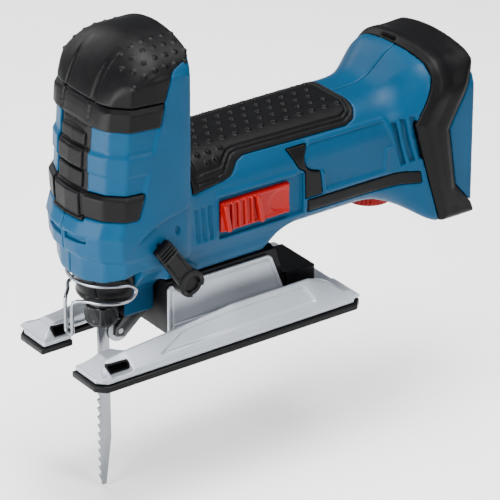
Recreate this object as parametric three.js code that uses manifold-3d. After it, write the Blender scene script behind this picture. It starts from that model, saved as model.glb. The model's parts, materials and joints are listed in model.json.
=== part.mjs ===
// A cordless barrel-grip jigsaw, shown without its battery. Millimetres, +X is the cutting direction,
// +Y is the tool's left side, +Z is up, and the origin is the middle of the sole's underside.
import * as THREE from 'three';
import { mergeVertices } from 'three/addons/utils/BufferGeometryUtils.js';
import Module from 'manifold-3d';

const wasm = await Module();
wasm.setup();

// ---- driving dimensions ----
const GAP = 0.3;                 // clearance between neighbouring pieces
const WALL = 4;                  // housing wall
const GRIP_DEPTH = 2;            // thickness of the moulded-on rubber
const SOLE_LENGTH = 168;
const SOLE_WIDTH = 80;
const SOLE_THICK = 3.5;
const SOLE_CORNER = 5;
const FLANGE_TOP = 6.5;          // top of the casting's flat flange
const SLOT_REAR_X = 19;          // rear end of the blade slot
const SLOT_STEP_X = 65;          // where the slot narrows towards the front
const SLOT_HALF = 23.4;
const SLOT_FRONT_HALF = 14;
const BLADE_X = 56;              // plunger and blade line
const BLADE_WIDTH = 8;
const BLADE_TIP_Z = -79;
const BLADE_TOP_Z = 21;
const TOOTH_PITCH = 5;
const STROKE = 23;
const ROD_RADIUS = 5;
const ROD_TOP_Z = 136;
const CLAMP_TOP_Z = 34;
const BUSH_RADIUS = 6.5;
const GEAR_Z = 113;              // axis of the crank gear
const GEAR_TEETH = 40;
const PINION_TEETH = 8;
const GEAR_MODULE = 1.2;
const MOTOR_Z = GEAR_Z - GEAR_MODULE * (GEAR_TEETH + PINION_TEETH) / 2;
const CRANK_RADIUS = STROKE / 2;
const GEAR_X = [30, 36];
const BEVEL_RADIUS = 40;         // sliding surface of the bevel joint, about the X axis at the sole
const ROLLER_X = 46.8;
const ROLLER_Z = 10.5;
const FORK_PIVOT = [30, 26];     // X and Z of the guide fork's pin
const LEVER_HUB = [23.5, 44];    // X and Z
const LEVER_TIP = [42, 70];
const DIAL_X = -116;
const DIAL_RADIUS = 13.5;
const REAR_X = -157;
const HEAD_TOP = 178;
const BEVEL_SCREW_X = -20;              // the bevel screw and its holes through the footplate
const MOTOR_FRONT_X = -14;
const MOTOR_REAR_X = -70;
const CAN_RADIUS = 20.8;
const CAN_WALL = 2;
const SHAFT_RADIUS = 2.5;
const PIN_RADIUS = 2;            // pin the guide fork swings on
const TOOTH_COUNT = 15;
const PLATE_Y = [15.2, 17];      // the pressed side plates, inner and outer face
// Screws of the right half: X, Z and the housing's half width there.
const SCREWS = [[-100, 86, 31], [-84, 75, 31], [12, 62, 30.5], [28.5, 150.5, 34.8]];
const ROUND = 24;                // sides of an ordinary round piece

// ---- colours ----
const paint = (color, roughness, metalness = 0) =>
  new THREE.MeshStandardMaterial({ color, roughness, metalness });
const BLUE = paint(0x1c6a99, 0.4);
const BLACK = paint(0x232529, 0.6);
const RED = paint(0xc72d1f, 0.4);
const CAST = paint(0xcfd9e5, 0.4, 0.8);
const STEEL = paint(0xa5a9ad, 0.3, 0.9);
const DARK_STEEL = paint(0x46484c, 0.45, 0.7);
const COPPER = paint(0xb06a3c, 0.4, 0.8);
const BOARD = paint(0x1f5a3a, 0.6);

// ---- geometry helpers ----
function solid(geometry) {
  geometry.deleteAttribute('normal');
  geometry.deleteAttribute('uv');
  const merged = mergeVertices(geometry, 1e-4);
  return new wasm.Manifold(new wasm.Mesh({
    numProp: 3,
    vertProperties: new Float32Array(merged.attributes.position.array),
    triVerts: new Uint32Array(merged.index.array),
  }));
}

function geometryOf(manifold) {
  const { vertProperties, triVerts } = manifold.getMesh();
  const geometry = new THREE.BufferGeometry();
  geometry.setAttribute('position', new THREE.BufferAttribute(vertProperties, 3));
  geometry.setIndex(new THREE.BufferAttribute(triVerts, 1));
  geometry.computeVertexNormals();
  return geometry;
}

// Local outline axes of a prism that runs along X (outline in Y, Z), Y (X, Z) or Z (X, Y).
const PRISM_AXES = {
  x: [new THREE.Vector3(0, 1, 0), new THREE.Vector3(0, 0, 1), new THREE.Vector3(1, 0, 0)],
  y: [new THREE.Vector3(1, 0, 0), new THREE.Vector3(0, 0, 1), new THREE.Vector3(0, -1, 0)],
  z: [new THREE.Vector3(1, 0, 0), new THREE.Vector3(0, 1, 0), new THREE.Vector3(0, 0, 1)],
};

function prismGeometry(outline, axis, from, to, steps = 1) {
  const shape = new THREE.Shape(outline.map(([a, b]) => new THREE.Vector2(a, b)));
  const depth = to - from;
  const geometry = new THREE.ExtrudeGeometry(shape, { depth, steps, bevelEnabled: false });
  geometry.applyMatrix4(new THREE.Matrix4().makeBasis(...PRISM_AXES[axis]));
  const start = { x: [from, 0, 0], y: [0, to, 0], z: [0, 0, from] }[axis];
  return geometry.translate(...start);
}

const prism = (outline, axis, from, to) => solid(prismGeometry(outline, axis, from, to));

function block(x, y, z) {
  return prism([[x[0], y[0]], [x[1], y[0]], [x[1], y[1]], [x[0], y[1]]], 'z', z[0], z[1]);
}

function circle(radius, centre, sides = ROUND, phase = 0) {
  return Array.from({ length: sides }, (_, i) => {
    const angle = phase + 2 * Math.PI * i / sides;
    return [centre[0] + radius * Math.cos(angle), centre[1] + radius * Math.sin(angle)];
  });
}

const rod = (axis, radius, from, to, centre, sides = ROUND) =>
  prism(circle(radius, centre, sides), axis, from, to);

function ring(axis, outer, inner, from, to, centre, sides = ROUND) {
  return rod(axis, outer, from, to, centre, sides)
    .subtract(rod(axis, inner, from - 1, to + 1, centre, sides));
}

// A prism whose outline changes along its length: place(u, v, w) gives the point for an outline
// point (u, v) at layer w, and the layers are the whole numbers from 0 to layers - 1.
function loft(outline, layers, place) {
  const geometry = prismGeometry(outline, 'z', 0, layers - 1, layers - 1);
  const position = geometry.attributes.position;
  for (let i = 0; i < position.count; i += 1) {
    const layer = Math.round(position.getZ(i));
    position.setXYZ(i, ...place(position.getX(i), position.getY(i), layer));
  }
  return solid(geometry);
}

const mirrorY = (manifold) => manifold.mirror([0, 1, 0]);

// ---- the housing's outer form ----
// Head: height, front reach, half width, rear face.
const HEAD_LEVELS = [
  [52, 74.3, 31, 22], [63.5, 74.6, 33, 21], [66.5, 78, 33.8, 20.5], [79, 79.4, 34.4, 20],
  [87.5, 76.3, 35, 20], [115, 73.6, 35, 20], [132, 72, 35, 20], [150, 70, 35, 20], [160, 65, 34, 20.2],
  [166, 61, 30.8, 20.4], [172, 54.5, 24.5, 21.5], [176, 47, 15, 24], [HEAD_TOP, 41, 6, 28],
];
// Half of the head's section, as shares of its length (from the rear) and of its half width.
const HEAD_SECTION = [
  [0, 0.8], [0.07, 1], [0.44, 0.99], [0.735, 0.926], [0.886, 0.7], [0.98, 0.33], [1, 0],
];

function headForm(inset) {
  const nose = HEAD_SECTION.at(-1);
  const flank = HEAD_SECTION.slice(0, -1);
  const outline = [...flank.map(([a, b]) => [a, -b]), nose, ...flank.reverse()];
  return loft(outline, HEAD_LEVELS.length, (u, v, layer) => {
    const [z, front, half, rear] = HEAD_LEVELS[layer];
    const height = THREE.MathUtils.clamp(z, HEAD_LEVELS[0][0] + inset, HEAD_TOP - inset);
    return [rear + inset + u * (front - rear - 2 * inset), v * (half - inset), height];
  });
}

// Barrel and rear: X, and how far the section has changed from the barrel's to the rear's,
// first above the middle and then below it, where the belly over the speed dial starts sooner.
const BARREL_LEVELS = [
  [REAR_X, 1, 1], [-137, 1, 1], [-130, 0.93, 0.94], [-124, 0.7, 0.8], [-118, 0.35, 0.68],
  [-112, 0.1, 0.5], [-105, 0, 0.28], [-98, 0, 0.06], [-92, 0, 0], [38, 0, 0],
];
const BARREL_SECTION = [
  [0, 110], [11, 110], [21, 106.5], [28, 99], [31, 89], [31, 66], [28, 57], [22, 54], [0, 54],
];
const REAR_SECTION = [
  [0, 128], [20, 125], [31, 121.5], [36, 117], [38, 110], [38, 48], [37, 42], [33, 39], [0, 39],
];
const BARREL_MIDDLE_Z = 84;

function barrelForm(inset) {
  const count = BARREL_SECTION.length;
  const index = Array.from({ length: 2 * count - 2 }, (_, i) => i);
  const outline = circle(1, [0, 0], index.length);
  return loft(outline, BARREL_LEVELS.length, (u, v, layer) => {
    const turn = Math.atan2(v, u) / (2 * Math.PI);
    const k = Math.round((turn < -1e-6 ? turn + 1 : turn) * index.length) % index.length;
    const side = k < count ? -1 : 1;
    const m = k < count ? k : 2 * count - 2 - k;
    const [x, upper, lower] = BARREL_LEVELS[layer];
    const change = BARREL_SECTION[m][1] > BARREL_MIDDLE_Z ? upper : lower;
    const y = THREE.MathUtils.lerp(BARREL_SECTION[m][0], REAR_SECTION[m][0], upper);
    const z = THREE.MathUtils.lerp(BARREL_SECTION[m][1], REAR_SECTION[m][1], change);
    const middle = BARREL_MIDDLE_Z;
    const reach = Math.hypot(y, z - middle);
    const shrink = (reach - inset * 1.08) / reach;
    const end = Math.max(x, REAR_X + 3.5 * inset);
    return [end, side * y * shrink, middle + (z - middle) * shrink];
  });
}

// The gearbox under the front of the barrel, and the chin in front of it that carries the guide fork.
function gearboxForm(inset) {
  const outline = [
    [34, 44.5 + inset], [-25, 44.5 + inset], [-40 + inset, 56], [-40 + inset, 64], [34, 64],
  ];
  const half = 28 - inset;
  const section = [[-half, 50], [-half + 3, 44], [half - 3, 44], [half, 50], [half, 70], [-half, 70]];
  return prism(outline.reverse(), 'y', -half, half).intersect(prism(section, 'x', -60, 40));
}

function chinForm() {
  const side = [[27, 18.5], [45, 18.5], [46.5, 33], [47, 56], [26, 56], [26, 44]];
  const front = [
    [-5.5, 18], [5.5, 18], [5.8, 33], [9, 37], [19, 43], [27, 52], [27, 57], [-27, 57], [-27, 52],
    [-19, 43], [-9, 37], [-5.8, 33],
  ];
  return prism(side, 'y', -30, 30).intersect(prism(front, 'x', 20, 50));
}

const bodyForm = (inset) =>
  headForm(inset).add(barrelForm(inset)).add(gearboxForm(inset));

// ---- regions covered by rubber, as outlines in X and Z ----
const CAP_REGION = [
  [90, 148], [38, 152], [34.4, 162], [31.5, 164.5], [24, 167], [10, 169], [10, 195], [90, 195],
];
const HEAD_GRIP_REGION = [[90, 147.7], [38.3, 151.7], [54, 88], [90, 88]];
const BARREL_GRIP_REGION = [
  [19.4, 94], [-5, 99], [-12, 104], [-82, 104], [-87, 108], [-88, 120], [19.4, 120],
];
const BUMPER_REGION = [
  [-133, 135], [-132, 120], [-121, 93], [-129.5, 56], [-135, 36], [-160, 36], [-157.5, 40],
  [-145, 54], [-140, 89], [-155, 115], [-155, 135],
];
const STRIP_REGION = [[-53, 61.5], [-53, 68], [-112, 68], [-121.5, 67], [-122.5, 60.5], [-112, 61]];

const slab = (outline, half = 60) => {
  const area = THREE.ShapeUtils.area(outline.map(([a, b]) => new THREE.Vector2(a, b)));
  return prism(area > 0 ? outline : outline.slice().reverse(), 'y', -half, half);
};

const outerBody = bodyForm(0);
const gripFloor = bodyForm(GRIP_DEPTH);
const pocketFloor = bodyForm(GRIP_DEPTH + GAP);
const leftSide = block([-200, 120], [0.2, 80], [-10, 220]);
const rightSide = mirrorY(leftSide);

const skinPiece = (outline) => outerBody.subtract(gripFloor).intersect(slab(outline));

// An outline with every edge moved outwards, for pockets a little wider than what they hold.
function grow(outline, distance) {
  const points = outline.map(([a, b]) => new THREE.Vector2(a, b));
  const turn = Math.sign(THREE.ShapeUtils.area(points));
  return points.map((point, i) => {
    const before = points[(i + points.length - 1) % points.length];
    const after = points[(i + 1) % points.length];
    const arriving = point.clone().sub(before).normalize();
    const leaving = after.clone().sub(point).normalize();
    const normal = new THREE.Vector2(arriving.y + leaving.y, -arriving.x - leaving.x).multiplyScalar(turn);
    const miter = 2 * distance / Math.max(normal.lengthSq(), 1);
    return [point.x + normal.x * miter, point.y + normal.y * miter];
  });
}

const pocket = (outline) => slab(grow(outline, GAP)).subtract(pocketFloor);

// ---- housing halves ----
const MOTOR_BAY_FLOOR = 58;
function housingCavity() {
  const keep = block([-132, -100], [-16, 16], [30, MOTOR_BAY_FLOOR]);
  return bodyForm(WALL).subtract(keep);
}

function screwBosses() {
  return SCREWS.map(([x, z, half]) => rod('y', 5, -half + 3, half - 3, [x, z], 8))
    .reduce((sum, boss) => sum.add(boss));
}

function screwHoles() {
  return SCREWS.map(([x, z, half]) => rod('y', 3.9, -half - 4, -half + 4, [x, z], 10)
    .add(rod('y', 1.9, -half, 12, [x, z], 8)))
    .reduce((sum, hole) => sum.add(hole));
}

function batteryBay() {
  const mouth = block([REAR_X - 2, -153], [-27, 27], [30, 112]);
  const track = block([-153.1, -146], [-31, 31], [30, 112]);
  return mouth.add(track);
}

function ventSlots() {
  const slot = (x) => slab([[x, 97], [x + 3, 97], [x - 3, 72], [x - 6, 72]]);
  return slot(-112).add(slot(-117)).add(slot(-122)).intersect(block([-135, -105], [-45, 45], [60, 110]));
}

function switchRecess() {
  const recess = slab([[3.2, 62], [3.2, 84.5], [-50, 84.5], [-50, 62]])
    .intersect(block([-60, 10], [28.8, 40], [50, 90]));
  const slot = block([-35, -11], [20, 32], [65.3, 77.7]);
  return recess.add(slot);
}

function leverSeat() {
  return rod('y', 9, 27.2, 45, LEVER_HUB, 20);
}

function housingShell() {
  const chin = chinForm();
  const forkSlot = block([20, 50], [-4.3, 4.3], [10, 41]);
  const pinHole = rod('y', PIN_RADIUS + GAP, -20, 20, FORK_PIVOT, 12);
  const plungerMouth = rod('z', 13, 40, 60, [BLADE_X, 0], 32);
  const dialPocket = rod('z', DIAL_RADIUS + 0.7, 30, 50.4, [DIAL_X, 0], 28)
    .add(rod('z', 3.4, 30, 70, [DIAL_X, 0], 12));
  return outerBody.add(chin)
    .subtract(housingCavity())
    .add(screwBosses())
    .subtract(forkSlot).subtract(pinHole).subtract(plungerMouth).subtract(dialPocket)
    .subtract(screwHoles()).subtract(batteryBay()).subtract(ventSlots())
    .subtract(switchRecess()).subtract(leverSeat())
    .subtract(pocket(CAP_REGION)).subtract(pocket(HEAD_GRIP_REGION))
    .subtract(pocket(BARREL_GRIP_REGION)).subtract(pocket(BUMPER_REGION))
    .subtract(pocket(STRIP_REGION));
}

// ---- drive train ----
function gearOutline(teeth, module, bite) {
  const outer = module * teeth / 2 + module * 0.85;
  const root = module * teeth / 2 - module * 1.15;
  const points = [];
  for (let tooth = 0; tooth < teeth; tooth += 1) {
    const middle = 2 * Math.PI * (tooth + bite) / teeth;
    const pitch = 2 * Math.PI / teeth;
    const corners = [[root, -0.3], [outer, -0.1], [outer, 0.1], [root, 0.3]];
    corners.forEach(([radius, share]) => {
      const angle = middle + share * pitch;
      points.push([radius * Math.cos(angle), radius * Math.sin(angle)]);
    });
  }
  return points;
}

function crankGear() {
  const wheel = prism(gearOutline(GEAR_TEETH, GEAR_MODULE, 0.5), 'x', GEAR_X[0], GEAR_X[1]);
  const hub = rod('x', 6, GEAR_X[0] - 1.2, GEAR_X[1] + 1, [0, 0], 16);
  const pin = rod('x', 3, GEAR_X[1] - 1, 48, [0, -CRANK_RADIUS], 16);
  const weight = prism([[-14, 4], [14, 4], [10, 16], [-10, 16]], 'x', GEAR_X[1] - 1, GEAR_X[1] + 2.5);
  const bore = rod('x', 3.15, 20, 45, [0, 0], 16);
  return wheel.add(hub).add(pin).add(weight).subtract(bore).translate([0, 0, GEAR_Z]);
}

function pinion() {
  return prism(gearOutline(PINION_TEETH, GEAR_MODULE, 0), 'x', GEAR_X[0], GEAR_X[1])
    .subtract(rod('x', 2.6, 20, 45, [0, 0], 12)).translate([0, 0, MOTOR_Z]);
}

function gearAxle() {
  return rod('x', 3, 24.4, 38.5, [0, GEAR_Z], 16);
}

function gearCase() {
  const rearPlate = block([26.6, 28.4], [-28, 28], [82, 143]);
  const cheeks = block([26.6, 48], [-28, 28], [82, 143])
    .subtract(block([20, 60], [-26.3, 26.3], [80, 150]));
  const topBar = block([39, 48], [-27, 27], [131.5, 143])
    .add(block([39, 63.8], [-9, 9], [131.5, 143]));
  const foot = block([26.6, 50], [-13, 13], [58.5, 72])
    .add(block([26.6, 64], [-9, 9], [58.5, 72]))
    .add(block([26.6, 28.4], [-13, 13], [58.5, 84]));
  return rearPlate.add(cheeks).add(topBar).add(foot)
    .subtract(rod('z', BUSH_RADIUS + GAP, 50, 160, [BLADE_X, 0]))
    .subtract(rod('x', 3.3, 20, 29, [0, GEAR_Z], 16))
    .subtract(rod('x', 8, 20, 40, [0, MOTOR_Z], 16));
}

const bush = (from, to) => ring('z', BUSH_RADIUS, ROD_RADIUS + 0.06, from, to, [BLADE_X, 0]);

function yoke() {
  const middle = GEAR_Z - CRANK_RADIUS;
  return block([48.4, 50.6], [-18, 18], [middle - 6.5, middle + 6.5])
    .subtract(block([40, 52], [-15, 15], [middle - 3.4, middle + 3.4]))
    .add(block([50.5, 60], [-8, 8], [middle - 6.5, middle + 6.5]))
    .subtract(rod('z', ROD_RADIUS + 0.3, 60, 140, [BLADE_X, 0]));
}

function blade() {
  const front = BLADE_X + BLADE_WIDTH / 2;
  const rear = BLADE_X - BLADE_WIDTH / 2;
  const points = [
    [rear, BLADE_TOP_Z - 3], [rear, -52], [BLADE_X - 0.5, BLADE_TIP_Z], [front - 2, BLADE_TIP_Z],
  ];
  for (let i = 0; i < TOOTH_COUNT; i += 1) {
    const z = BLADE_TIP_Z + 2 + i * TOOTH_PITCH;
    points.push([front - 1.9, z], [front, z + TOOTH_PITCH * 0.9]);
  }
  points.push([front - 1.2, BLADE_TIP_Z + 2 + TOOTH_COUNT * TOOTH_PITCH], [front - 1.2, BLADE_TOP_Z - 3]);
  points.push([BLADE_X + 2, BLADE_TOP_Z], [BLADE_X - 2, BLADE_TOP_Z]);
  return prism(points, 'y', -0.65, 0.65);
}

function clampBody() {
  const slot = block([BLADE_X - 4.5, BLADE_X + 4.5], [-1, 1], [10, BLADE_TOP_Z + GAP]);
  return rod('z', 7.5, 17.5, CLAMP_TOP_Z, [BLADE_X, 0]).subtract(slot);
}

function clampSleeve() {
  const grips = [0, 1, 2].map((i) => {
    const angle = Math.PI / 3 + i * 2 * Math.PI / 3;
    return rod('z', 1.5, 20, 28, [BLADE_X + 8.6 * Math.cos(angle), 8.6 * Math.sin(angle)], 8);
  });
  return grips.reduce((sum, rib) => sum.add(rib), rod('z', 9.2, 19, 29, [BLADE_X, 0]))
    .subtract(rod('z', 7.8, 10, 40, [BLADE_X, 0]));
}

// ---- blade guide ----
function guideRoller() {
  const profile = [
    [1.9, -2], [6.5, -2], [6.5, -1.1], [4.9, -0.9], [4.9, 0.9], [6.5, 1.1], [6.5, 2], [1.9, 2], [1.9, -2],
  ];
  const geometry = new THREE.LatheGeometry(profile.map(([r, y]) => new THREE.Vector2(r, y)), ROUND);
  return solid(geometry.translate(ROLLER_X, 0, ROLLER_Z));
}

function guideFork() {
  const [px, pz] = FORK_PIVOT;
  const arm = slab([[ROLLER_X - 2.6, 6.6], [ROLLER_X + 3, 8], [ROLLER_X + 2.4, 13.2], [px + 3.5, 30],
    [px - 3.5, 28], [px - 3, 21]], 3.8);
  const round = rod('y', 4, -3.8, 3.8, [px, pz], 16);
  const rollerSpace = rod('y', 8.6, -2.4, 2.4, [ROLLER_X, ROLLER_Z], 16);
  return arm.add(round).subtract(rollerSpace)
    .subtract(rod('y', 2.1, -10, 10, [px, pz], 12))
    .subtract(rod('y', 1.8, -10, 10, [ROLLER_X, ROLLER_Z], 12));
}

// ---- footplate ----
function soleOutline(inset) {
  const x = SOLE_LENGTH / 2 - inset;
  const y = SOLE_WIDTH / 2 - inset;
  const c = SOLE_CORNER;
  const wide = SLOT_HALF + inset * 0.4;
  const narrow = SLOT_FRONT_HALF + inset * 0.4;
  return [
    [-x, -y + c], [-x + c, -y], [x - c, -y], [x, -y + c], [x, -narrow], [SLOT_STEP_X, -narrow],
    [SLOT_STEP_X, -wide], [SLOT_REAR_X + 4, -wide], [SLOT_REAR_X, -wide + 4],
    [SLOT_REAR_X, wide - 4], [SLOT_REAR_X + 4, wide], [SLOT_STEP_X, wide], [SLOT_STEP_X, narrow],
    [x, narrow], [x, y - c], [x - c, y], [-x + c, y], [-x, y - c],
  ];
}

function sole() {
  return prism(soleOutline(0), 'z', 0, SOLE_THICK).subtract(rod('z', 4, -1, 5, [BEVEL_SCREW_X, 0], 16));
}

// Side pods of the casting: X, ridge height, inner foot, inner edge of the top, outer edge of the top.
const POD_LEVELS = [
  [-82, 7.5, 18, 18, 35], [-79, 10, 18, 18, 35], [-74, 10.5, 18, 19, 35], [-66, 16, 22, 24, 30],
  [-56, 20, 24, 26.5, 28], [-7, 20, 24, 26.5, 28], [30, 17, 24.2, 27.6, 28.6], [61, 14.6, 25, 28.2, 29],
  [65.6, 13.9, 15.5, 21, 28.8], [72.5, 13.2, 15.5, 21, 29], [82.3, 7, 15.5, 18, 35],
];

function pod() {
  const outline = circle(1, [0, 0], 6);
  const body = loft(outline, POD_LEVELS.length, (u, v, layer) => {
    const turn = Math.atan2(v, u) / (2 * Math.PI);
    const k = Math.round((turn < -1e-6 ? turn + 1 : turn) * 6) % 6;
    const [x, top, foot, inner, outer] = POD_LEVELS[layer];
    const low = FLANGE_TOP - 1;
    const ends = [[38.3, low], [37.6, Math.min(8.2, top)], [outer, top], [inner, top],
      [foot, Math.max(low + 0.5, top - 5)], [foot, low]];
    return [x, ends[k][0], ends[k][1]];
  });
  const guideWindow = block([62, 75], [10, 45], [6.9, 11.6]);
  return body.subtract(guideWindow);
}

function baseCasting() {
  const left = pod();
  const flange = prism(soleOutline(1.5), 'z', SOLE_THICK + GAP, FLANGE_TOP);
  return flange.add(left).add(mirrorY(left)).subtract(rod('z', 5, 0, 9, [BEVEL_SCREW_X, 0], 16));
}

function sidePlate() {
  const outline = [[-50, 7], [26, 7], [26, 33], [24, 35], [-38, 35], [-40, 33]];
  return slab(outline).intersect(block([-60, 40], PLATE_Y, [6.8, 40]));
}

function saddle() {
  const arc = [];
  const half = Math.asin(14.9 / (BEVEL_RADIUS - GAP));
  for (let i = 0; i <= 8; i += 1) {
    const angle = half - i * half / 4;
    arc.push([(BEVEL_RADIUS - GAP) * Math.sin(angle), (BEVEL_RADIUS - GAP) * Math.cos(angle)]);
  }
  return prism([[-14.9, 6.8], [14.9, 6.8], ...arc], 'x', -48, 25.5)
    .subtract(slab([[-60, 60], [-60, 22], [-48, 22], [-36, 60]]))
    .subtract(rod('z', 5.2, 0, 12, [BEVEL_SCREW_X, 0], 16))
    .subtract(rod('z', 2.8, 0, 60, [BEVEL_SCREW_X, 0], 16));
}

function bevelSegment() {
  const arc = [];
  for (let i = 0; i <= 8; i += 1) {
    const angle = (-15 + i * 30 / 8) * Math.PI / 180;
    arc.push([BEVEL_RADIUS * Math.sin(angle), BEVEL_RADIUS * Math.cos(angle)]);
  }
  return prism([...arc, [11, 44.2], [-11, 44.2]], 'x', -24, 22);
}

function bevelScrew() {
  const socket = rod('z', 2, 0, 6, [BEVEL_SCREW_X, 0], 6);
  return rod('z', 4.6, SOLE_THICK + GAP, 8, [BEVEL_SCREW_X, 0], 16)
    .add(rod('z', 2.5, 7, 32, [BEVEL_SCREW_X, 0], 16)).subtract(socket);
}

function dustPort() {
  return block([-69.5, -50.5], [-15, 15], [6.8, 20])
    .subtract(block([-80, -40], [-12.5, 12.5], [8.8, 18]));
}

// ---- front guard ----
function noseBezel() {
  return rod('z', 19, 34, 51.7, [51, 0], 32)
    .subtract(rod('z', 11.3, 30, 60, [BLADE_X, 0], 32))
    .subtract(block([20, 47.4], [-30, 30], [30, 60]));
}

function wireGuard() {
  const nose = [51, 0];
  const reach = 21.6;
  const around = (angle, z) => {
    const a = angle * Math.PI / 180;
    return new THREE.Vector3(nose[0] + reach * Math.cos(a), reach * Math.sin(a), z);
  };
  const half = [new THREE.Vector3(76, 0, 16.6), new THREE.Vector3(76, 2.6, 17.4),
    new THREE.Vector3(76, 3.1, 20), new THREE.Vector3(76, 3.1, 32),
    new THREE.Vector3(75, 4.2, 36), around(24, 37), around(45, 37), around(68, 37), around(86, 38),
    around(96, 42), around(86, 46), around(68, 46.8), around(45, 46.8), around(24, 46.8), around(2, 46.8)];
  const other = half.slice(1).map((p) => new THREE.Vector3(p.x, -p.y, p.z)).reverse();
  const path = new THREE.CatmullRomCurve3([...other, ...half], false, 'centripetal');
  const shape = new THREE.Shape(circle(1, [0, 0], 8).map(([a, b]) => new THREE.Vector2(a, b)));
  return solid(new THREE.ExtrudeGeometry(shape, { steps: 72, bevelEnabled: false, extrudePath: path }));
}

// ---- controls ----
function switchSlider() {
  const plate = slab([[2.6, 65], [2.6, 82], [-39, 82], [-41, 79], [-41, 65]])
    .intersect(block([-60, 10], [29.1, 32], [50, 90]));
  const ridge = (i) => block([1.2 - i * 4, 3.2 - i * 4].map((x) => x - 2.2), [31, 34], [66, 81]);
  const ribs = [0, 1, 2, 3].map(ridge).reduce((sum, rib) => sum.add(rib));
  return plate.add(ribs).add(block([-26, -12], [25.4, 30], [66, 77]));
}

function switchLink() {
  return block([-93, -12], [23.2, 25.1], [64.5, 69.5]);
}

function orbitLever() {
  const [hx, hz] = LEVER_HUB;
  const angle = Math.atan2(LEVER_TIP[1] - hz, LEVER_TIP[0] - hx);
  const length = Math.hypot(LEVER_TIP[0] - hx, LEVER_TIP[1] - hz);
  const along = (distance, offset) => [
    hx + distance * Math.cos(angle) - offset * Math.sin(angle),
    hz + distance * Math.sin(angle) + offset * Math.cos(angle),
  ];
  const arm = slab([along(0, -6), along(length, -4.6), along(length + 2, -3), along(length + 2, 3),
    along(length, 4.6), along(0, 6)]).intersect(block([0, 60], [35.8, 38.2], [30, 90]));
  return arm.add(rod('y', 7.6, 27.6, 38.2, LEVER_HUB, 20))
    .subtract(rod('y', 4.2, 33, 40, LEVER_HUB, 16));
}

function speedDial() {
  const outline = Array.from({ length: 56 }, (_, i) => {
    const angle = 2 * Math.PI * i / 56;
    const radius = DIAL_RADIUS - (i % 2 ? 0.6 : 0);
    return [DIAL_X + radius * Math.cos(angle), radius * Math.sin(angle)];
  });
  return prism(outline, 'z', 40.5, 50).add(rod('z', 3, 49, 62, [DIAL_X, 0], 12));
}

// ---- motor and electrics ----
function motorCan() {
  return rod('x', CAN_RADIUS, MOTOR_REAR_X, MOTOR_FRONT_X, [0, MOTOR_Z], 32)
    .subtract(rod('x', CAN_RADIUS - CAN_WALL, MOTOR_REAR_X + CAN_WALL, MOTOR_FRONT_X - CAN_WALL,
      [0, MOTOR_Z], 32))
    .subtract(rod('x', 4, -80, 0, [0, MOTOR_Z], 16))
    .subtract(block([-66, -60], [-30, 30], [MOTOR_Z - 4, MOTOR_Z + 4]));
}

const rotorCore = () => ring('x', 16, SHAFT_RADIUS + GAP, -60, -24, [0, MOTOR_Z]);
const commutator = () => ring('x', 6, SHAFT_RADIUS + GAP, -67, -61, [0, MOTOR_Z], 16);
const motorShaft = () => rod('x', SHAFT_RADIUS, -76, 37, [0, MOTOR_Z], 12);
const motorBearing = (from) => ring('x', 8, 2.56, from, from + 6, [0, MOTOR_Z], 16);

function coolingFan() {
  const hub = rod('x', 6, -9, -2, [0, 0], 16).add(rod('x', 19, -4, -2, [0, 0], 24));
  const vanes = Array.from({ length: 9 }, (_, i) => block([-9, -3], [5, 18], [-0.6, 0.6])
    .rotate([i * 40, 0, 0]));
  return vanes.reduce((sum, vane) => sum.add(vane), hub)
    .subtract(rod('x', SHAFT_RADIUS + GAP, -20, 20, [0, 0], 12)).translate([0, 0, MOTOR_Z]);
}

function batteryTerminal() {
  const blades = [-9, -3, 3, 9].map((y) => block([-152.5, -148], [y - 0.5, y + 0.5], [62, 80]));
  return blades.reduce((sum, contact) => sum.add(contact), block([-149, -146.3], [-14, 14], [58, 84]));
}

function housingScrew([x, z, half]) {
  const head = rod('y', 3.5, -half + 1, -half + 3.7, [x, z], 10);
  const socket = rod('y', 1.4, -half, -half + 2.6, [x, z], 6);
  return head.add(rod('y', 1.5, -half + 3.5, 8, [x, z], 8)).subtract(socket);
}

// ---- assembly ----
const jigsaw = new THREE.Group();

function add(name, manifold, material) {
  const mesh = new THREE.Mesh(geometryOf(manifold), material);
  mesh.name = name;
  jigsaw.add(mesh);
}

const shell = housingShell();
add('housing_left', shell.intersect(leftSide), BLUE);
add('housing_right', shell.intersect(rightSide), BLUE);
add('head_cap', skinPiece(CAP_REGION), BLACK);
add('head_grip', skinPiece(HEAD_GRIP_REGION), BLACK);
add('barrel_grip', skinPiece(BARREL_GRIP_REGION), BLACK);
add('rear_bumper', skinPiece(BUMPER_REGION).subtract(batteryBay()), BLACK);
add('side_strip_left', skinPiece(STRIP_REGION).intersect(leftSide), BLACK);
add('side_strip_right', skinPiece(STRIP_REGION).intersect(rightSide), BLACK);
SCREWS.forEach((screw, i) => add(`housing_screw_${i + 1}`, housingScrew(screw), DARK_STEEL));
add('nose_bezel', noseBezel(), BLACK);
add('wire_guard', wireGuard(), STEEL);
add('bevel_segment', bevelSegment(), DARK_STEEL);
add('gear_case', gearCase(), CAST);
add('plunger_bush_lower', bush(60, 71), COPPER);
add('plunger_bush_upper', bush(132, 140), COPPER);
add('gear_axle', gearAxle(), STEEL);
add('motor_can', motorCan(), DARK_STEEL);
add('motor_bearing_front', motorBearing(6), STEEL);
add('motor_bearing_rear', motorBearing(-77), STEEL);
add('control_board', block([-126, -92], [-14, 14], [91, 93]), BOARD);
add('switch_block', block([-112, -94], [12, 22.8], [62, 80]), BLACK);
add('battery_terminal', batteryTerminal(), BLACK);
add('guide_pin', rod('y', PIN_RADIUS, -5.2, 5.2, FORK_PIVOT, 12), STEEL);
add('crank_gear', crankGear(), STEEL);
add('motor_shaft', motorShaft(), STEEL);
add('motor_pinion', pinion(), STEEL);
add('rotor_core', rotorCore(), COPPER);
add('commutator', commutator(), COPPER);
add('cooling_fan', coolingFan(), BLACK);
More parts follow.
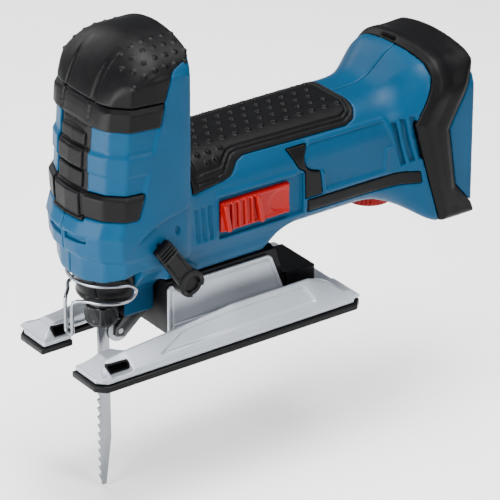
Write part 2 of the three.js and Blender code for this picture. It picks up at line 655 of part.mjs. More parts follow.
add('plunger_rod', rod('z', ROD_RADIUS, CLAMP_TOP_Z + GAP, ROD_TOP_Z, [BLADE_X, 0]), STEEL);
add('crank_yoke', yoke(), STEEL);
add('clamp_body', clampBody(), DARK_STEEL);
add('saw_blade', blade(), STEEL);
add('clamp_sleeve', clampSleeve(), DARK_STEEL);
add('guide_fork', guideFork(), DARK_STEEL);
add('roller_pin', rod('y', 1.5, -3.7, 3.7, [ROLLER_X, ROLLER_Z], 12), STEEL);
add('guide_roller', guideRoller(), STEEL);
add('orbit_lever', orbitLever(), BLACK);
add('power_switch', switchSlider(), RED);
add('switch_link', switchLink(), BLACK);
add('speed_dial', speedDial(), RED);
add('sole_plate', sole(), BLACK);
add('base_casting', baseCasting(), CAST);
add('side_plate_left', sidePlate(), CAST);
add('side_plate_right', mirrorY(sidePlate()), CAST);
add('bevel_saddle', saddle(), BLACK);
add('bevel_screw', bevelScrew(), DARK_STEEL);
add('dust_port', dustPort(), BLACK);

export default jigsaw;
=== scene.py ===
"""A cordless barrel-grip jigsaw: moulded shells, rubber, casting and controls built round the CAD frame.

Most pieces are isosurfaces of distance fields, worked out in millimetres on a grid and meshed here.
"""

import json
import math

import bmesh
import bpy
import numpy as np
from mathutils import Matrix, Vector


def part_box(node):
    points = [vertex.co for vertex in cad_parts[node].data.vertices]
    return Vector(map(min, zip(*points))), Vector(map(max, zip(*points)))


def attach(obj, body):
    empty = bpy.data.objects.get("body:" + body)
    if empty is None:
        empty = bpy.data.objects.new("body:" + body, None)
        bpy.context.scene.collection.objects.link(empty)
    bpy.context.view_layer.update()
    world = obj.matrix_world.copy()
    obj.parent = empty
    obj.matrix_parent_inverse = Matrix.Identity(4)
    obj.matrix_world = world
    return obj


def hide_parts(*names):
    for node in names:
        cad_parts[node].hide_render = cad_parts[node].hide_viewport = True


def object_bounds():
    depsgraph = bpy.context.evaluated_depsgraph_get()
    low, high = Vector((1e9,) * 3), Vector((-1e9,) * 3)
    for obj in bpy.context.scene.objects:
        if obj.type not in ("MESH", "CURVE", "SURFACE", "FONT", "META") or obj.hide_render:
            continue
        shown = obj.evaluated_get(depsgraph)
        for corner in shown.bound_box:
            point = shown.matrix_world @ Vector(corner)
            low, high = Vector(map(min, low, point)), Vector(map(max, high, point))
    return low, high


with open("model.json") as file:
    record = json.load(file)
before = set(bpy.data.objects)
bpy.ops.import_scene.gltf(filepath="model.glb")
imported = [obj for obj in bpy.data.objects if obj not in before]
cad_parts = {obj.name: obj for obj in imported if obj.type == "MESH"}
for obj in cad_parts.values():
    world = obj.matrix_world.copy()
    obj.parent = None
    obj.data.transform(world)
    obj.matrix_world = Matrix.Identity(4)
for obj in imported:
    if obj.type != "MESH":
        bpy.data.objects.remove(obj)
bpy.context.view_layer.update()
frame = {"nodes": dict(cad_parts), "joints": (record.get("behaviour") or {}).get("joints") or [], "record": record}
MM = 0.001

# ---- places taken from the frame, in millimetres ----


def mm_box(node):
    lo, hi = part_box(node)
    return np.array(lo) * 1000, np.array(hi) * 1000


def middle(node):
    lo, hi = mm_box(node)
    return (lo + hi) / 2


HEAD_TOP = mm_box("head_cap")[1][2]
HEAD_REAR = 20.0
REAR_X = mm_box("housing_left")[0][0]
BLADE_LOW, BLADE_HIGH = mm_box("saw_blade")
BLADE_X = (BLADE_LOW[0] + BLADE_HIGH[0]) / 2
CAST_LOW, CAST_HIGH = mm_box("base_casting")
SWITCH_LOW, SWITCH_HIGH = mm_box("power_switch")
DIAL = middle("speed_dial")
DIAL_RADIUS = (mm_box("speed_dial")[1][0] - mm_box("speed_dial")[0][0]) / 2
LEVER_JOINT = next(j for j in frame["joints"] if j["name"] == "orbit_lever_turn")
LEVER_HUB = np.array(LEVER_JOINT["pos_m"]) * 1000
NOSE_LOW, NOSE_HIGH = mm_box("nose_bezel")
PLATE_LOW, PLATE_HIGH = mm_box("side_plate_left")

# ---- camera ----
AIM = Vector((-0.052008, -0.019824, 0.018871))
AZIMUTH, ELEVATION = math.radians(144.367), math.radians(26.633)
DISTANCE = 1.8717


def make_camera():
    away = Vector((math.sin(AZIMUTH) * math.cos(ELEVATION), -math.cos(AZIMUTH) * math.cos(ELEVATION),
                   math.sin(ELEVATION)))
    data = bpy.data.cameras.new("camera")
    data.lens = 252
    data.sensor_width = 36
    data.clip_end = 20
    camera = bpy.data.objects.new("camera", data)
    camera.location = AIM + away * DISTANCE
    camera.rotation_mode = "QUATERNION"
    camera.rotation_quaternion = (-away).to_track_quat("-Z", "Y")
    bpy.context.scene.collection.objects.link(camera)
    bpy.context.scene.camera = camera


# ---- distance-field helpers (millimetres, negative inside) ----
def axes(low, high, cell):
    spans = [np.arange(a - 2 * cell, b + 3 * cell, cell, dtype=np.float32) for a, b in zip(low, high)]
    x, y, z = spans
    return x[:, None, None], y[None, :, None], z[None, None, :]


def smooth_min(a, b, k):
    h = np.clip(0.5 + 0.5 * (b - a) / k, 0, 1)
    return b * (1 - h) + a * h - k * h * (1 - h)


def smooth_max(a, b, k):
    return -smooth_min(-a, -b, k)


def step(value, low, high):
    t = np.clip((value - low) / (high - low), 0, 1)
    return t * t * (3 - 2 * t)


def table(value, rows, column=1, soften=0.0):
    """Looks up a column by the first one; soften rounds the corners over that distance each way."""
    rows = np.array(rows, float)
    rows = rows[np.argsort(rows[:, 0])]
    places = [value] if not soften else [value + soften * share for share in (-1, -0.5, 0, 0.5, 1)]
    looked_up = [np.interp(place, rows[:, 0], rows[:, column]) for place in places]
    return (sum(looked_up) / len(looked_up)).astype(np.float32)


def box_field(x, y, z, low, high, radius=0.0):
    centre = (np.array(low) + np.array(high)) / 2
    half = (np.array(high) - np.array(low)) / 2 - radius
    qx, qy, qz = abs(x - centre[0]) - half[0], abs(y - centre[1]) - half[1], abs(z - centre[2]) - half[2]
    outside = np.sqrt(np.maximum(qx, 0) ** 2 + np.maximum(qy, 0) ** 2 + np.maximum(qz, 0) ** 2)
    return outside + np.minimum(np.maximum(np.maximum(qx, qy), qz), 0) - radius


def cylinder_field(a, b, c, centre, radius, low, high, rounding=0.0):
    radial = np.sqrt((a - centre[0]) ** 2 + (b - centre[1]) ** 2) - radius
    along = np.maximum(low - c, c - high)
    return smooth_max(radial, along, rounding) if rounding else np.maximum(radial, along)


def outline_field(a, b, points):
    """Signed distance to a closed outline in the plane of a and b, of either winding."""
    points = np.array(points, np.float32)
    a, b = np.broadcast_arrays(a, b)
    nearest = np.full(a.shape, 1e9, np.float32)
    inside = np.zeros(a.shape, bool)
    for p, q in zip(points, np.roll(points, -1, axis=0)):
        edge = q - p
        t = np.clip(((a - p[0]) * edge[0] + (b - p[1]) * edge[1]) / (edge @ edge), 0, 1)
        nearest = np.minimum(nearest, (a - p[0] - t * edge[0]) ** 2 + (b - p[1] - t * edge[1]) ** 2)
        crosses = (p[1] > b) != (q[1] > b)
        if p[1] != q[1]:
            inside ^= crosses & (a < p[0] + (b - p[1]) * edge[0] / edge[1])
    return np.where(inside, -1, 1) * np.sqrt(nearest)


# ---- meshing ----
def surface_net(field, low, cell):
    """One vertex in each grid cell that the surface crosses, and a quad across each crossed edge."""
    inside = field < 0
    corner = [(i, j, k) for i in (0, 1) for j in (0, 1) for k in (0, 1)]
    shape = tuple(n - 1 for n in field.shape)
    count = np.zeros(shape, np.int8)
    for i, j, k in corner:
        count += inside[i:i + shape[0], j:j + shape[1], k:k + shape[2]]
    cells = np.argwhere((count > 0) & (count < 8))
    values = np.stack([field[tuple((cells + c).T)] for c in corner], 1)
    total = np.zeros((len(cells), 3))
    crossings = np.zeros((len(cells), 1))
    for first, p in enumerate(corner):
        for second, q in enumerate(corner):
            if second <= first or sum(abs(a - b) for a, b in zip(p, q)) != 1:
                continue
            u, v = values[:, first], values[:, second]
            crossed = (u < 0) != (v < 0)
            share = np.where(crossed, u / np.where(crossed, u - v, 1), 0)[:, None]
            place = np.array(p) + share * (np.array(q) - np.array(p))
            total += place * crossed[:, None]
            crossings += crossed[:, None]
    points = (cells + total / crossings) * cell + np.array(low)
    index = np.full(shape, -1, np.int64)
    index[tuple(cells.T)] = np.arange(len(cells))
    quads = []
    for axis in range(3):
        b, c = (axis + 1) % 3, (axis + 2) % 3
        near = np.moveaxis(inside, (axis, b, c), (0, 1, 2))
        grid = np.moveaxis(index, (axis, b, c), (0, 1, 2))
        change = near[:-1, 1:-1, 1:-1] != near[1:, 1:-1, 1:-1]
        i, j, k = np.nonzero(change)
        ring = np.stack([grid[i, j, k], grid[i, j + 1, k], grid[i, j + 1, k + 1], grid[i, j, k + 1]], 1)
        outward = near[i, j + 1, k + 1]
        ring[~outward] = ring[~outward][:, ::-1]
        quads.append(ring)
    return points, np.concatenate(quads)


def mesh_object(name, points, faces, material, smooth=True):
    mesh = bpy.data.meshes.new(name)
    faces = np.asarray(faces)
    mesh.vertices.add(len(points))
    mesh.vertices.foreach_set("co", (np.asarray(points) * MM).astype(np.float32).ravel())
    sides = faces.shape[1]
    mesh.loops.add(faces.size)
    mesh.loops.foreach_set("vertex_index", faces.astype(np.int32).ravel())
    mesh.polygons.add(len(faces))
    mesh.polygons.foreach_set("loop_start", np.arange(0, faces.size, sides, dtype=np.int32))
    mesh.polygons.foreach_set("loop_total", np.full(len(faces), sides, np.int32))
    mesh.update(calc_edges=True)
    mesh.validate()
    if smooth:
        mesh.shade_smooth()
    mesh.materials.append(material)
    obj = bpy.data.objects.new(name, mesh)
    bpy.context.scene.collection.objects.link(obj)
    return obj


def field_piece(name, field, low, high, cell, material):
    """Meshes field(x, y, z) inside a box, with the surface kept off the grid's own edges."""
    x, y, z = axes(low, high, cell)
    values = field(x, y, z).astype(np.float32)
    origin = (x[0, 0, 0], y[0, 0, 0], z[0, 0, 0])
    for axis in range(3):
        edge = [slice(None)] * 3
        for end in (0, -1):
            edge[axis] = end
            values[tuple(edge)] = np.maximum(values[tuple(edge)], 0.5 * cell)
    points, faces = surface_net(values, origin, cell)
    return mesh_object(name, points, faces, material)


def place(obj, body, slot, *nodes):
    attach(obj, body)
    if nodes:
        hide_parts(*nodes)
    return obj


# ---- materials ----
def linear(rgb):
    return tuple(((c / 255 + 0.055) / 1.055) ** 2.4 if c > 10 else c / 255 / 12.92 for c in rgb) + (1,)


def plastic(name, rgb, roughness, grain_mm=0.5, grain_depth=0.03, variation=0.1, metallic=0.0,
            wear=0.35, wear_rgb=None, specular=0.5, stretch=None):
    """Mottled colour, fine grain, uneven gloss and paler rubbed edges, all worked out from position."""
    material = bpy.data.materials.new(name)
    material.use_nodes = True
    nodes, links = material.node_tree.nodes, material.node_tree.links
    shader = nodes["Principled BSDF"]
    shader.inputs["Metallic"].default_value = metallic
    shader.inputs["Specular IOR Level"].default_value = specular
    where = nodes.new("ShaderNodeTexCoord").outputs["Object"]
    if stretch:
        mapping = nodes.new("ShaderNodeMapping")
        mapping.inputs["Scale"].default_value = stretch
        links.new(where, mapping.inputs["Vector"])
        where = mapping.outputs["Vector"]

    def noise(scale, detail):
        node = nodes.new("ShaderNodeTexNoise")
        node.inputs["Scale"].default_value = scale
        node.inputs["Detail"].default_value = detail
        links.new(where, node.inputs["Vector"])
        return node.outputs["Fac"]

    def ramp(value, low, high, out_low, out_high):
        node = nodes.new("ShaderNodeMapRange")
        node.inputs["From Min"].default_value = low
        node.inputs["From Max"].default_value = high
        node.inputs["To Min"].default_value = out_low
        node.inputs["To Max"].default_value = out_high
        links.new(value, node.inputs["Value"])
        return node.outputs["Result"]

    def mix(factor, first, second):
        node = nodes.new("ShaderNodeMix")
        node.data_type = "RGBA"
        for socket, value in ((node.inputs[6], first), (node.inputs[7], second)):
            if isinstance(value, tuple):
                socket.default_value = value
            else:
                links.new(value, socket)
        links.new(factor, node.inputs[0])
        return node.outputs[2]

    base = linear(rgb)
    dark = tuple(c * (1 - variation) for c in base[:3]) + (1,)
    light = tuple(min(c * (1 + variation), 1) for c in base[:3]) + (1,)
    cloud = noise(38, 4)
    grain = noise(1000 / grain_mm, 3)
    colour = mix(ramp(cloud, 0.35, 0.65, 0, 1), dark, light)
    colour = mix(ramp(grain, 0.3, 0.7, 0, variation), colour, light)
    edge = nodes.new("ShaderNodeNewGeometry").outputs["Pointiness"]
    worn = linear(wear_rgb) if wear_rgb else tuple(c * 0.6 + 0.16 for c in base[:3]) + (1,)
    colour = mix(ramp(edge, 0.515, 0.6, 0, wear), colour, worn)
    links.new(colour, shader.inputs["Base Color"])
    links.new(ramp(noise(130, 5), 0.3, 0.7, roughness - 0.05, roughness + 0.07), shader.inputs["Roughness"])
    bump = nodes.new("ShaderNodeBump")
    bump.inputs["Strength"].default_value = 0.6
    bump.inputs["Distance"].default_value = grain_depth * MM
    links.new(grain, bump.inputs["Height"])
    links.new(bump.outputs["Normal"], shader.inputs["Normal"])
    return material


BLUE = plastic("blue_plastic", (0, 52, 80), 0.4, grain_mm=0.7, grain_depth=0.05, variation=0.06,
               wear=0.1, wear_rgb=(10, 90, 130), specular=0.1)
RUBBER = plastic("black_rubber", (4, 4, 5), 0.45, grain_mm=0.9, grain_depth=0.12, variation=0.14, wear=0.1,
                 wear_rgb=(45, 46, 50), specular=0.1)
BLACK = plastic("black_plastic", (4, 4, 5), 0.34, grain_mm=0.6, grain_depth=0.05, variation=0.1, wear=0.1,
                wear_rgb=(45, 45, 48), specular=0.1)
RED = plastic("red_plastic", (128, 3, 2), 0.36, grain_mm=0.6, grain_depth=0.03, variation=0.06, wear=0.1,
              wear_rgb=(190, 40, 30), specular=0.15)
CAST = plastic("cast_aluminium", (150, 155, 162), 0.4, grain_mm=0.8, grain_depth=0.12, variation=0.05,
               metallic=0.55, wear=0.3, wear_rgb=(200, 204, 210))
STEEL = plastic("bright_steel", (120, 123, 128), 0.26, grain_mm=0.5, grain_depth=0.02, variation=0.08,
                metallic=0.95, wear=0.3, stretch=(1, 1, 0.12))
DARK = plastic("dark_steel", (24, 25, 27), 0.4, grain_mm=0.5, grain_depth=0.04, variation=0.12,
               metallic=0.8)
BRONZE = plastic("bronze", (170, 120, 70), 0.4, metallic=0.9)
COPPER = plastic("copper_winding", (168, 96, 56), 0.35, metallic=0.9, stretch=(8, 1, 1))
BOARD = plastic("circuit_board", (30, 96, 60), 0.4, grain_mm=2.0, grain_depth=0.05, variation=0.2)
SLOT_MATERIAL = {
    "blue_plastic": BLUE, "black_rubber": RUBBER, "black_plastic": BLACK, "red_plastic": RED,
    "cast_aluminium": CAST, "bright_steel": STEEL, "dark_steel": DARK, "bronze": BRONZE,
    "copper_winding": COPPER, "circuit_board": BOARD,
}


def finish_cad_nodes():
    for row in frame["record"]["subparts"]:
        node = frame["nodes"][row["node"]]
        node.data.materials.clear()
        node.data.materials.append(SLOT_MATERIAL[row["material_slot"]])


# ---- the housing's form ----
# The head by height: how far it reaches forwards, and its half width.
HEAD_FRONT = [
    (48, 73.6), (52, 74.6), (63.4, 74.8), (66.2, 78.2), (76.8, 78.8), (78.4, 80), (87, 76.9), (88, 75.6),
    (100, 75.6), (112, 74.2), (124, 73), (136, 71.6), (148, 69.8), (160, 68), (182, 66),
]
HEAD_HALF = [
    (48, 30), (52, 31.2), (63.4, 33), (66.2, 34), (78, 34.8), (88, 34.7), (120, 35), (182, 34.6),
]
# Half of the head's cross-section: distance from its rear face, and half width.
HEAD_SECTION = [
    (0, 26), (3, 34.2), (8, 35), (24, 34.6), (38.6, 32.2), (46.6, 24.4), (51.5, 11.4), (52.5, 0),
]
HEAD_DEPTH, HEAD_WIDTH = 52.5, 35.0
# Where the ribbed front ends on the side, as height and X.
FRONT_LINE = [(50, 46), (64, 50), (78, 55), (88, 54.2), (101, 50.5), (136, 41.5), (148, 38.6), (152, 37.6),
              (162, 34.4), (164.5, 31.5), (167, 24), (169, 10)]
ROW_EDGES = [88, 101.5, 112, 124, 136, 148]
# Relief of the ribbed front: height and offset.
ROWS = [
    (50, 0), (64, 0), (67, 0.1), (76.8, 0.1), (78, -0.1), (87.4, 0), (88, 0.5), (99.6, 0.9), (101.6, -1.1),
    (111.7, -0.9), (112.3, -0.1), (121.6, 0.2), (124, -1.2), (135.7, -0.9), (136.2, 0.6), (145.8, 1.0),
    (148.2, -1.0), (149.6, -0.3), (182, 0),
]
BARREL = {  # X: half width, top, bottom, top corner, bottom corner, roof crown
    -157: (37.4, 127, 39, 13, 5, 4.4),
    -137: (37.4, 127, 39, 13, 5, 4.4),
    -130: (37, 125.6, 40, 14, 6, 3.6),
    -124: (35.6, 121.6, 42, 17, 8, 2.2),
    -118: (33.4, 115.6, 44.6, 19.5, 10, 1),
    -112: (31.8, 111.4, 47.5, 20.5, 10, 0.3),
    -105: (31.1, 109.8, 50.7, 21, 10, 0),
    -98: (31, 109.5, 53.2, 21, 10, 0),
    -90: (31, 109.5, 54.4, 21, 10, 0),
    38: (31, 109.5, 54, 21, 10, 0),
}
GEARBOX_BOTTOM = 44.5
CHIN_WIDTH = [(17, 5.4), (32, 5.8), (36, 8.5), (43, 18), (52, 26)]


def arc_drop(share, height, power):
    """How far a rounded shoulder has dropped, from its start (share 0) to its foot (share 1)."""
    share = np.clip(share, 0, 0.998)
    return height * (1 - (1 - share ** power) ** (1 / power))


def head_field(x, y, z, relief=True):
    front = table(z, HEAD_FRONT)
    half = table(z, HEAD_HALF)
    u = (x - HEAD_REAR) / (front - HEAD_REAR) * HEAD_DEPTH
    v = abs(y) / half * HEAD_WIDTH
    side = -u
    for p, q in zip(HEAD_SECTION[:-1], HEAD_SECTION[1:]):
        nx, ny = q[1] - p[1], p[0] - q[0]
        length = -math.hypot(nx, ny)
        side = smooth_max(side, ((u - p[0]) * nx + (v - p[1]) * ny) / length, 0.6)
    if relief:
        ribbed = step(x - table(z, FRONT_LINE), -0.4, 1.2)
        side = side - table(z, ROWS) * ribbed
    forward = arc_drop((x - 37.2) / 32.3, 48.2, 2.12)
    sideways = arc_drop((abs(y) - 1.2) / 32.5, 15.4, 1.8)
    dome = (z - HEAD_TOP + 1.3 + forward + sideways) * 0.66
    bottom = 50 + 0.33 * np.clip(73 - x, 0, 20) - z
    return smooth_max(smooth_max(side, dome, 1.8), bottom, 1.4)


def barrel_field(x, y, z):
    rows = [(k, *v) for k, v in BARREL.items()]
    half, top, bottom, upper, lower, crown = (table(x, rows, c, 4.0) for c in range(1, 7))
    radius = np.where(z > (top + bottom) / 2, upper, lower)
    lift = z + crown * (y / 30) ** 2
    qy = abs(y) - (half - radius)
    qz = abs(lift - (top + bottom) / 2) - ((top - bottom) / 2 - radius)
    body = (np.sqrt(np.maximum(qy, 0) ** 2 + np.maximum(qz, 0) ** 2)
            + np.minimum(np.maximum(qy, qz), 0) - radius)
    return smooth_max(smooth_max(body, REAR_X - x, 1.5), x - 38, 0.5)


def gearbox_field(x, y, z):
    slope = (GEARBOX_BOTTOM - z) + np.maximum(-27 - x, 0) * 0.75
    ends = np.maximum(-46 - x, x - 34)
    return smooth_max(smooth_max(smooth_max(abs(y) - 28, slope, 6), ends, 2), z - 66, 2)


def chin_field(x, y, z):
    sides = (abs(y) - table(z, CHIN_WIDTH)) * 0.8
    front = x - (45.2 + (z - 18.5) * 0.08)
    rear = 27 - x
    lower = 18.5 - z
    return smooth_max(smooth_max(smooth_max(sides, smooth_max(front, rear, 1), 1.2), lower, 1), z - 58, 1)


def body_field(x, y, z, relief=True):
    body = smooth_min(head_field(x, y, z, relief), barrel_field(x, y, z), 2.5)
    body = smooth_min(body, gearbox_field(x, y, z), 4)
    return smooth_min(body, chin_field(x, y, z), 4)


# ---- rubber regions on the side view, as outlines in X and Z ----
GRIP_OUTLINE = [
    (19.6, 91.4), (0, 94), (-4.5, 95.4), (-10, 101), (-15, 102.6), (-80, 101.8), (-86, 103.6),
    (-89.4, 107), (-90.5, 110), (-90.5, 125), (19.6, 125),
]
# The line moulded into the grip, as X and distance from the middle plane.
GRIP_LINE = [
    (15.5, -9), (15.5, 27.6), (0, 27), (-7.4, 22), (-12, 21.2), (-80, 22.2), (-84.5, 20), (-86.6, 12),
    (-87, -9),
]
BUMPER_OUTLINE = [
    (-132.4, 140), (-132.4, 124), (-131.6, 117), (-120.4, 93.6), (-124.4, 76), (-129.6, 56), (-136, 34),
    (-162, 34), (-157.4, 40), (-145.5, 54), (-140.5, 88), (-156, 116), (-162, 120), (-162, 140),
]
STRIP_OUTLINE = [(-53, 61.5), (-53, 68), (-112, 68), (-123.5, 66.5), (-124.5, 60), (-112, 61)]
WEDGE_OUTLINE = [
    (-40.5, 99.2), (-53, 99.2), (-52.2, 96.5), (-50.6, 93.5), (-50.4, 90), (-51.8, 86.8), (-54.6, 84.4),
    (-58, 83.4), (-60.4, 82.6), (-62, 69.6), (-51.2, 69.6), (-51, 85.2), (-47, 88),
]
LABEL_OUTLINE = [
    (-55, 99.6), (-103, 99.6), (-106, 92), (-108.5, 84), (-103.5, 83), (-103, 71), (-64, 71), (-62.6, 81.6),
    (-58, 82.2), (-54, 83.4), (-51, 86.6), (-49.6, 90), (-50, 93.8), (-52, 97.4),
]


def cap_region(x, y, z):
    line = x - table(z, FRONT_LINE)
    return np.maximum(148.6 - z, -line * 0.93)


def band_region(x, y, z):
    """The two black bands and the black columns between them, on the ribbed front."""
    line = x - table(z, FRONT_LINE)
    bands = np.minimum(abs(z - 142.2) - 6.0, abs(z - 94.7) - 6.7)
    column = np.maximum(abs(y) - 13.3, abs(z - 118) - 32)
    column = np.maximum(column, 60 - x)
    return np.maximum(np.maximum(np.minimum(bands, column), -line * 0.95), z - 148.2)


def outline_region(points):
    return lambda x, y, z: outline_field(x, z, points)


def column_grooves(x, y, z):
    """The upright grooves beside the centre columns, and the cuts across them."""
    upright = np.maximum(abs(abs(y) - 12) - 1.7, 88 - z)
    across = np.minimum.reduce([abs(z - edge) - 1.0 for edge in ROW_EDGES[1:]])
    across = np.maximum(across, abs(y) - 10.6)
    return np.maximum(np.minimum(upright, across), 50 - x)


HOUSING_CELL = 0.7               # grid spacing of the housing's shells
SHELL_WALL = 4.4
SKIN = 2.4                       # how deep the moulded-on rubber is seated
SKIN_BACKING = 0.8               # extra rubber behind the grooves
POCKET_DEPTH = SKIN + 1.2
GRIP_CORNER = 21.0               # radius of the barrel's upper corners


def grip_dots(x, y, z):
    """Rows of raised dots over the barrel's shoulder, as a field of small balls."""
    best = np.full(np.broadcast_shapes(x.shape, y.shape, z.shape), 99, np.float32)
    rows = [(14.3, 6.2, -84), (7.2, 1.8, -82), (0, 6.2, -80)]
    spots = [(cx, cy) for cy, start, end in rows for cx in np.arange(start, end, -8.15)]
    spots += [(10.3, 20.6), (3.6, 20.4), (-4.2, 20.2), (6.6, 25), (1.2, 24.4)]
    for cx, across in spots:
        rise = math.sqrt(GRIP_CORNER ** 2 - max(across - 10, 0) ** 2)
        part = abs(x[:, 0, 0] - cx) < 3
        for side in (1, -1) if across else (1,):
            ball = np.sqrt((x[part] - cx) ** 2 + (y - side * across) ** 2 + (z - 88.6 - rise) ** 2) - 1.45
            best[part] = np.minimum(best[part], ball)
    return best


CAP_DOT_ROWS = (31.2, 26.4, 20.8, 14.6)   # distance of each row from the middle plane


def cap_dots(x, y, z):
    """Staggered rows of raised dots on the cap's shoulders. Only the first two rows are on both sides."""
    best = np.full(np.broadcast_shapes(x.shape, y.shape, z.shape), 99, np.float32)
    for row, across in enumerate(CAP_DOT_ROWS):
        for number in range(6):
            cx = 54.5 - 6.1 * number - 3 * (row % 2)
            cz = HEAD_TOP - head_drop(cx, across) - 0.25
            part = abs(x[:, 0, 0] - cx) < 3
            for side in (1, -1) if row < 2 else (1,):
                ball = np.sqrt((x[part] - cx) ** 2 + (y - side * across) ** 2 + (z - cz) ** 2) - 1.3
                best[part] = np.minimum(best[part], ball)
    return best


def head_drop(cx, cy):
    """How far the head's top is below its highest point, above one place."""
    z = np.linspace(140, HEAD_TOP + 2, 400, dtype=np.float32)[None, None, :]
    field = head_field(np.full((1, 1, 1), cx, np.float32), np.full((1, 1, 1), cy, np.float32), z, False)
    inside = np.nonzero(field[0, 0] < 0)[0]
    return HEAD_TOP - (z[0, 0, inside[-1]] if len(inside) else 140)


REGIONS = {
    "head_cap": cap_region,
    "head_grip": band_region,
    "barrel_grip": outline_region(GRIP_OUTLINE),
    "rear_bumper": outline_region(BUMPER_OUTLINE),
    "side_strips": outline_region(STRIP_OUTLINE),
    "side_wedges": outline_region(WEDGE_OUTLINE),
}


def battery_bay(x, y, z):
    mouth = box_field(x, y, z, (REAR_X - 9, -27, 20), (-153, 27, 112), 1)
    track = box_field(x, y, z, (-153, -31, 20), (-146, 31, 112), 0.5)
    return np.minimum(mouth, track)


def marks_around_lever(x, y, z):
    """Four oval pits at the lever's settings."""
    best = None
    for degrees in (31, 54.6, 78, 100):
        angle = math.radians(degrees)
        radius = 36 if degrees < 60 else 37
        cx = LEVER_HUB[0] + radius * 0.86 * math.cos(angle)
        cz = LEVER_HUB[2] + radius * 0.86 * math.sin(angle)
        along = (x - cx) * math.cos(angle) + (z - cz) * math.sin(angle)
        across = (z - cz) * math.cos(angle) - (x - cx) * math.sin(angle)
        pit = (np.sqrt((along / 2.4) ** 2 + (across / 1.3) ** 2) - 1) * 1.5
        best = pit if best is None else np.minimum(best, pit)
    return best


def housing_field(x, y, z):
    body = body_field(x, y, z)
    raw = body_field(x, y, z, False)
    side = 1 if y.mean() > 0 else -1
    # relief on the flanks, measured from the surface inwards
    label = outline_field(x, z, LABEL_OUTLINE)
    body = body + 0.7 * step(-label, 0.3, 1.1) * (abs(y) > 20)
    body = body - 0.55 * step(1.5 - abs(label - 0.4), 0, 1) * (abs(y) > 20) * (label > -0.5) * (x > -110)
    for number in range(3):
        cx = -108.5 - 5.2 * number
        bend = cx - 0.13 * (98 - z) - 0.004 * (98 - z) ** 2
        slot = np.maximum(abs(x - bend) - 1.5, abs(z - (84.5 + number)) - 12.5)
        body = smooth_max(body, -np.maximum(slot, -(raw + 2.4)), 0.5)
    if side > 0:
        recess = np.maximum(abs(x + 23.4) - 26.6, abs(z - 73.2) - 11.3)
        body = smooth_max(body, -np.maximum(recess, 28.8 - y), 0.8)
        lip = np.maximum(abs(x + 20) - 25, abs(z - 86.4 - 0.02 * (x + 20)) - 1.2)
        body = smooth_min(body, np.maximum(lip, raw - 0.9), 1.0)
        for cx in (8.5, 12.6, 16.7):
            rib = np.maximum(abs(x - cx - 0.06 * (z - 73)) - 1.0, abs(z - 73) - 9.5)
            body = smooth_max(body, -np.maximum(rib, -(raw + 1.3)), 0.8)
        seat = np.sqrt((x - LEVER_HUB[0]) ** 2 + (z - LEVER_HUB[2]) ** 2)
        body = smooth_max(body, -np.maximum(seat - 9.2, 27.2 - y), 0.8)
        dish = np.maximum(seat - 42, (LEVER_HUB[2] - 12 - z))
        body = smooth_max(body, -np.maximum(np.maximum(dish, 12 - x), 32.6 - y), 2.5)
        body = smooth_max(body, -np.maximum(marks_around_lever(x, y, z), 31.2 - y), 0.6)
    else:
        for node in [n for n in frame["nodes"] if n.startswith("housing_screw")]:
            centre, low = middle(node), mm_box(node)[0]
            radial = np.sqrt((x - centre[0]) ** 2 + (z - centre[2]) ** 2)
            well = np.maximum(radial - 4.2, y - (low[1] + 4))
            collar = np.maximum(abs(radial - 6.2) - 0.4, -(raw + 0.5))
            body = smooth_max(body, -well, 0.5)
            body = smooth_max(body, -collar, 0.4)
    # pockets for the rubber, with a fine joint line round each
    for region in REGIONS.values():
        pocket = np.maximum(region(x, y, z) - 0.35, -(raw + POCKET_DEPTH))
        body = smooth_max(body, -pocket, 0.35)
    # undercut slots below the ribbed front, beside the ridge
    under = np.maximum(abs(z - 75.2 - 0.05 * abs(y)) - 2.0, abs(abs(y) - 8.8) - 7.4)
    body = smooth_max(body, -np.maximum(np.maximum(under, 55 - x), -(raw + 1.6)), 0.4)
    # hollow inside, with the mouth for the plunger, the dial, the fork and the battery
    body = np.maximum(body, -(raw + SHELL_WALL))
    body = np.maximum(body, -cylinder_field(x, y, z, (BLADE_X, 0), 13, 30, 60))
    body = np.maximum(body, -cylinder_field(x, y, z, (DIAL[0], DIAL[1]), DIAL_RADIUS + 0.8, 20, 50.5))
    body = np.maximum(body, -box_field(x, y, z, (20, -4.3, 5), (50, 4.3, 41)))
    body = np.maximum(body, -battery_bay(x, y, z))
    return body


def make_housing():
    for side, name in ((1, "left"), (-1, "right")):
        low = (REAR_X, 0.14, 18) if side > 0 else (REAR_X, -40, 18)
        high = (78, 40, HEAD_TOP) if side > 0 else (78, -0.14, HEAD_TOP)

        def half(x, y, z, side=side):
            return np.maximum(housing_field(x, y + 0 * x, z), 0.14 - side * y)

        shell = field_piece("housing_shell_" + name, half, low, high, HOUSING_CELL, BLUE)
        place(shell, "housing", "blue_plastic", "housing_" + name)


def rubber(name, region, low, high, cell, raise_mm=0.0, extra=None):
    def field(x, y, z):
        body = body_field(x, y, z)
        proud = raise_mm(x, z) if callable(raise_mm) else raise_mm
        piece = smooth_max(body - proud, region(x, y, z), 0.7)
        if extra:
            piece = extra(piece, x, y, z, body)
        return np.maximum(piece, -(body_field(x, y, z, False) + SKIN + SKIN_BACKING))
    return field_piece(name, field, low, high, cell, RUBBER)


def cap_details(piece, x, y, z, body):
    piece = smooth_min(piece, cap_dots(x, y, z), 0.5)
    depth = 1.3 * np.clip(1 - (z - 148) / 22, 0, 1) - 0.35 * step(z, 164, 170)
    return smooth_max(piece, -np.maximum(column_grooves(x, y, z), -(body + depth)), 0.5)


def band_details(piece, x, y, z, body):
    return smooth_max(piece, -np.maximum(column_grooves(x, y, z), -(body + 1.3)), 0.5)


